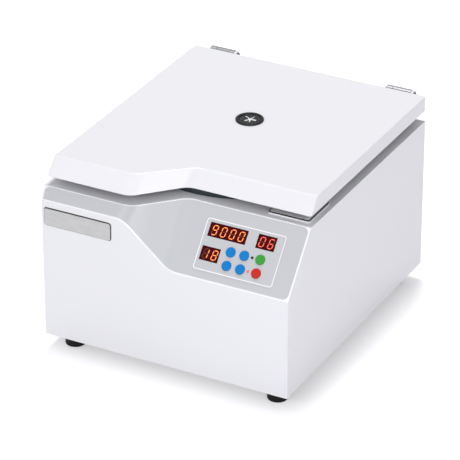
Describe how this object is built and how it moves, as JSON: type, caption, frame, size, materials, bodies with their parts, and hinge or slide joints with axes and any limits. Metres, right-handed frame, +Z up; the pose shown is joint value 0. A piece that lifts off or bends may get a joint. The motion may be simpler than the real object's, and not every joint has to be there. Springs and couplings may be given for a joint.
{
  "type": "benchtop centrifuge",
  "caption": "Benchtop centrifuge for platelet-rich plasma: white steel housing, hinged lid with sight glass, sloped control panel, swing-out bucket rotor in a round chamber.",
  "frame": {"origin": "centre of the object's footprint, on the surface that the feet stand on", "axes": "+X to the right seen from the front, +Y to the back, +Z up"},
  "size_m": [0.34, 0.4088, 0.2618],
  "materials": {
    "white_enamel": "satin powder coat",
    "grey_enamel": "satin powder coat",
    "zinc_plate": "zinc plated",
    "stainless_steel": "brushed",
    "brushed_aluminium": "brushed",
    "cast_aluminium": "machined",
    "black_rubber": "matte",
    "black_plastic": "satin",
    "overlay_film": "satin film",
    "display_window": "gloss",
    "red_lamp": "gloss",
    "blue_key": "satin",
    "green_key": "satin",
    "red_key": "satin",
    "clear_lens": "clear",
    "circuit_board": "solder mask"
  },
  "bodies": {
    "housing": {"housing_shell": "white_enamel", "base_plate": "zinc_plate", "rear_panel": "white_enamel", "deck_plate": "white_enamel", "blank_nameplate": "brushed_aluminium", "foot_front_left": "black_rubber", "foot_front_right": "black_rubber", "foot_rear_left": "black_rubber", "foot_rear_right": "black_rubber", "control_fascia": "grey_enamel", "control_overlay": "overlay_film", "control_board": "circuit_board", "speed_display": "display_window", "time_display": "display_window", "count_display": "display_window", "lamp_upper": "red_lamp", "lamp_lower": "red_lamp", "chamber_bowl": "stainless_steel", "chamber_gasket": "black_rubber", "motor_isolator_1": "black_rubber", "motor_isolator_2": "black_rubber", "motor_isolator_3": "black_rubber", "motor_mount": "zinc_plate", "motor_body": "cast_aluminium", "motor_bearing": "stainless_steel", "spindle_boot": "black_rubber", "drive_board": "circuit_board", "power_supply": "zinc_plate", "lock_seal": "black_rubber", "lock_plate": "brushed_aluminium", "lock_body": "zinc_plate", "hinge_fixed_leaf_left": "zinc_plate", "hinge_fixed_leaf_right": "zinc_plate", "hinge_pin_left": "stainless_steel", "hinge_pin_right": "stainless_steel", "power_inlet": "black_plastic"},
    "lid": {"lid_shell": "white_enamel", "lid_liner": "white_enamel", "sight_bezel": "black_plastic", "sight_lens": "clear_lens", "lid_striker": "stainless_steel", "hinge_moving_leaf_left": "zinc_plate", "hinge_moving_leaf_right": "zinc_plate"},
    "rotor": {"spindle": "stainless_steel", "rotor_head": "cast_aluminium", "rotor_nut": "stainless_steel"},
    "bucket_1_body": {"bucket_1": "brushed_aluminium"},
    "bucket_2_body": {"bucket_2": "brushed_aluminium"},
    "bucket_3_body": {"bucket_3": "brushed_aluminium"},
    "bucket_4_body": {"bucket_4": "brushed_aluminium"},
    "upper_left_key_body": {"key_upper_left": "blue_key"},
    "upper_middle_key_body": {"key_upper_middle": "blue_key"},
    "start_key_body": {"key_start": "green_key"},
    "lower_left_key_body": {"key_lower_left": "blue_key"},
    "lower_middle_key_body": {"key_lower_middle": "blue_key"},
    "stop_key_body": {"key_stop": "red_key"},
    "rocker_body": {"power_rocker": "black_plastic"},
    "drawer_body": {"fuse_drawer": "black_plastic"},
    "bolt_body": {"lock_bolt": "stainless_steel"}
  },
  "joints": [
    {"name": "lid_hinge", "type": "hinge", "parent": "housing", "child": "lid", "pos_m": [0, 0.1974, 0.252], "axis": [-1, 0, 0], "range_deg": [0, 80]},
    {"name": "rotor_spin", "type": "hinge", "parent": "housing", "child": "rotor", "pos_m": [0, 0.0241, 0.1935], "axis": [0, 0, 1], "continuous": true},
    {"name": "bucket_1_swing", "type": "hinge", "parent": "rotor", "child": "bucket_1_body", "pos_m": [0.058, 0.0241, 0.1935], "axis": [0, -1, 0], "range_deg": [0, 90]},
    {"name": "bucket_2_swing", "type": "hinge", "parent": "rotor", "child": "bucket_2_body", "pos_m": [0, 0.0821, 0.1935], "axis": [1, 0, 0], "range_deg": [0, 90]},
    {"name": "bucket_3_swing", "type": "hinge", "parent": "rotor", "child": "bucket_3_body", "pos_m": [-0.058, 0.0241, 0.1935], "axis": [0, 1, 0], "range_deg": [0, 90]},
    {"name": "bucket_4_swing", "type": "hinge", "parent": "rotor", "child": "bucket_4_body", "pos_m": [0, -0.0339, 0.1935], "axis": [-1, 0, 0], "range_deg": [0, 90]},
    {"name": "upper_left_key_press", "type": "slide", "parent": "housing", "child": "upper_left_key_body", "axis": [0, 0.77, -0.6381], "range_m": [0, 0.0009], "stiffness_N_per_m": 1200},
    {"name": "upper_middle_key_press", "type": "slide", "parent": "housing", "child": "upper_middle_key_body", "axis": [0, 0.77, -0.6381], "range_m": [0, 0.0009], "stiffness_N_per_m": 1200},
    {"name": "start_key_press", "type": "slide", "parent": "housing", "child": "start_key_body", "axis": [0, 0.77, -0.6381], "range_m": [0, 0.0009], "stiffness_N_per_m": 1200},
    {"name": "lower_left_key_press", "type": "slide", "parent": "housing", "child": "lower_left_key_body", "axis": [0, 0.77, -0.6381], "range_m": [0, 0.0009], "stiffness_N_per_m": 1200},
    {"name": "lower_middle_key_press", "type": "slide", "parent": "housing", "child": "lower_middle_key_body", "axis": [0, 0.77, -0.6381], "range_m": [0, 0.0009], "stiffness_N_per_m": 1200},
    {"name": "stop_key_press", "type": "slide", "parent": "housing", "child": "stop_key_body", "axis": [0, 0.77, -0.6381], "range_m": [0, 0.0009], "stiffness_N_per_m": 1200},
    {"name": "rocker_tilt", "type": "hinge", "parent": "housing", "child": "rocker_body", "pos_m": [0.105, 0.1843, 0.089], "axis": [0, 0, -1], "range_deg": [0, 16]},
    {"name": "drawer_pull", "type": "slide", "parent": "housing", "child": "drawer_body", "axis": [0, 1, 0], "range_m": [0, 0.012]},
    {"name": "bolt_throw", "type": "slide", "parent": "housing", "child": "bolt_body", "axis": [-1, 0, 0], "range_m": [0, 0.0075]}
  ]
}
